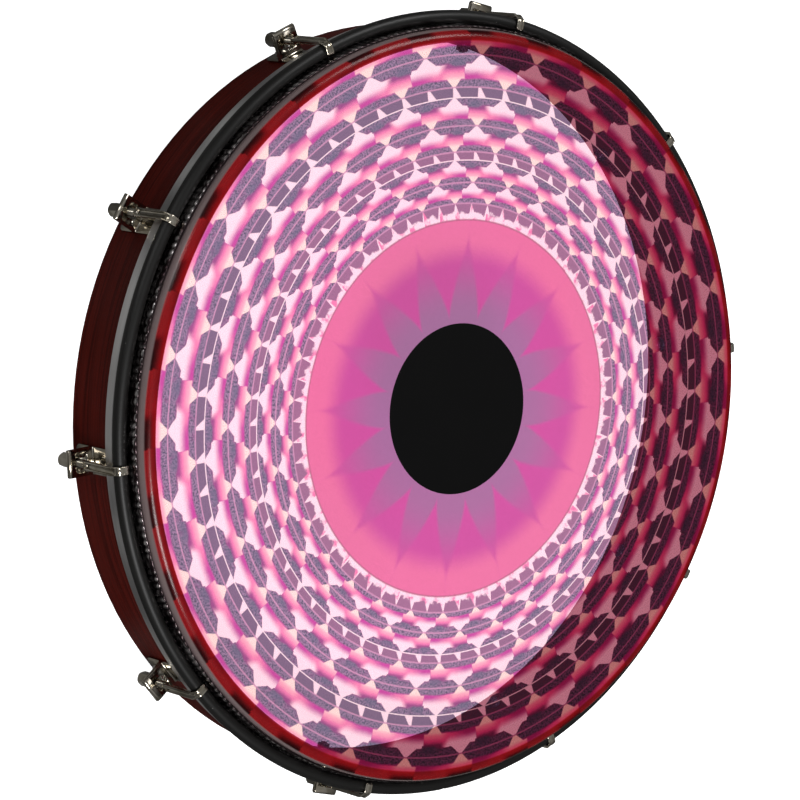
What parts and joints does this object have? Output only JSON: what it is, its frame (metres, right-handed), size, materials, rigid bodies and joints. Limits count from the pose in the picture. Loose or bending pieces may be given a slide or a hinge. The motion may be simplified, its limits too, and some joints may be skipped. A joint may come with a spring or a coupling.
{
  "type": "bodhran frame drum",
  "caption": "Shallow round frame drum, open at the back, with a printed film head pulled over the shell by a rod-and-nut tensioned hoop.",
  "frame": {"origin": "centre of the open rear rim, on the plane it rests on", "axes": "+Z along the drum's axis towards the playing surface, +Y through the first lug"},
  "size_m": [0.4786, 0.4946, 0.0758],
  "materials": {
    "shell_wood": "satin lacquered dark red-brown wood-fibre shell with fine grain round the circumference",
    "printed_film": null,
    "dot_black": "matt black",
    "hoop_aluminium": "dark satin, crimped edge",
    "hoop_steel": "satin plated steel band",
    "cover_black": "satin black flexible edge cover",
    "nickel_plate": "polished nickel plate",
    "fastener_steel": "zinc plated steel"
  },
  "bodies": {
    "drum_shell": {"shell": "shell_wood", "head_film": "printed_film", "head_dot": "dot_black", "lug_bracket_01": "nickel_plate", "lug_bracket_02": "nickel_plate", "lug_bracket_03": "nickel_plate", "lug_bracket_04": "nickel_plate", "lug_bracket_05": "nickel_plate", "lug_bracket_06": "nickel_plate", "lug_bracket_07": "nickel_plate", "lug_bracket_08": "nickel_plate", "lug_bracket_09": "nickel_plate", "lug_bracket_10": "nickel_plate", "nut_washers": "fastener_steel", "mounting_screws": "fastener_steel", "inner_washers": "fastener_steel", "lock_nuts": "fastener_steel"},
    "tension_hoop": {"flesh_hoop": "hoop_aluminium", "counter_hoop": "hoop_steel", "hoop_edge_cover": "cover_black", "tension_hook_01": "nickel_plate", "tension_hook_02": "nickel_plate", "tension_hook_03": "nickel_plate", "tension_hook_04": "nickel_plate", "tension_hook_05": "nickel_plate", "tension_hook_06": "nickel_plate", "tension_hook_07": "nickel_plate", "tension_hook_08": "nickel_plate", "tension_hook_09": "nickel_plate", "tension_hook_10": "nickel_plate"},
    "nut_01": {"tension_nut_01": "nickel_plate"},
    "nut_02": {"tension_nut_02": "nickel_plate"},
    "nut_03": {"tension_nut_03": "nickel_plate"},
    "nut_04": {"tension_nut_04": "nickel_plate"},
    "nut_05": {"tension_nut_05": "nickel_plate"},
    "nut_06": {"tension_nut_06": "nickel_plate"},
    "nut_07": {"tension_nut_07": "nickel_plate"},
    "nut_08": {"tension_nut_08": "nickel_plate"},
    "nut_09": {"tension_nut_09": "nickel_plate"},
    "nut_10": {"tension_nut_10": "nickel_plate"}
  },
  "joints": [
    {"name": "hoop_tension", "type": "slide", "parent": "drum_shell", "child": "tension_hoop", "axis": [0, 0, -1], "range_m": [-0.002, 0.0025]},
    {"name": "nut_turn_01", "type": "hinge", "parent": "drum_shell", "child": "nut_01", "pos_m": [0, 0.2395, 0.012], "axis": [0, 0, 1], "range_deg": [-902, 1127]},
    {"name": "nut_turn_02", "type": "hinge", "parent": "drum_shell", "child": "nut_02", "pos_m": [-0.14078, 0.19376, 0.012], "axis": [0, 0, 1], "range_deg": [-902, 1127]},
    {"name": "nut_turn_03", "type": "hinge", "parent": "drum_shell", "child": "nut_03", "pos_m": [-0.22778, 0.07401, 0.012], "axis": [0, 0, 1], "range_deg": [-902, 1127]},
    {"name": "nut_turn_04", "type": "hinge", "parent": "drum_shell", "child": "nut_04", "pos_m": [-0.22778, -0.07401, 0.012], "axis": [0, 0, 1], "range_deg": [-902, 1127]},
    {"name": "nut_turn_05", "type": "hinge", "parent": "drum_shell", "child": "nut_05", "pos_m": [-0.14078, -0.19376, 0.012], "axis": [0, 0, 1], "range_deg": [-902, 1127]},
    {"name": "nut_turn_06", "type": "hinge", "parent": "drum_shell", "child": "nut_06", "pos_m": [0, -0.2395, 0.012], "axis": [0, 0, 1], "range_deg": [-902, 1127]},
    {"name": "nut_turn_07", "type": "hinge", "parent": "drum_shell", "child": "nut_07", "pos_m": [0.14078, -0.19376, 0.012], "axis": [0, 0, 1], "range_deg": [-902, 1127]},
    {"name": "nut_turn_08", "type": "hinge", "parent": "drum_shell", "child": "nut_08", "pos_m": [0.22778, -0.07401, 0.012], "axis": [0, 0, 1], "range_deg": [-902, 1127]},
    {"name": "nut_turn_09", "type": "hinge", "parent": "drum_shell", "child": "nut_09", "pos_m": [0.22778, 0.07401, 0.012], "axis": [0, 0, 1], "range_deg": [-902, 1127]},
    {"name": "nut_turn_10", "type": "hinge", "parent": "drum_shell", "child": "nut_10", "pos_m": [0.14078, 0.19376, 0.012], "axis": [0, 0, 1], "range_deg": [-902, 1127]}
  ],
  "couplings": [
    {"joint": "nut_turn_01", "follows": "hoop_tension", "rad_per_m": 7854},
    {"joint": "nut_turn_02", "follows": "hoop_tension", "rad_per_m": 7854},
    {"joint": "nut_turn_03", "follows": "hoop_tension", "rad_per_m": 7854},
    {"joint": "nut_turn_04", "follows": "hoop_tension", "rad_per_m": 7854},
    {"joint": "nut_turn_05", "follows": "hoop_tension", "rad_per_m": 7854},
    {"joint": "nut_turn_06", "follows": "hoop_tension", "rad_per_m": 7854},
    {"joint": "nut_turn_07", "follows": "hoop_tension", "rad_per_m": 7854},
    {"joint": "nut_turn_08", "follows": "hoop_tension", "rad_per_m": 7854},
    {"joint": "nut_turn_09", "follows": "hoop_tension", "rad_per_m": 7854},
    {"joint": "nut_turn_10", "follows": "hoop_tension", "rad_per_m": 7854}
  ]
}
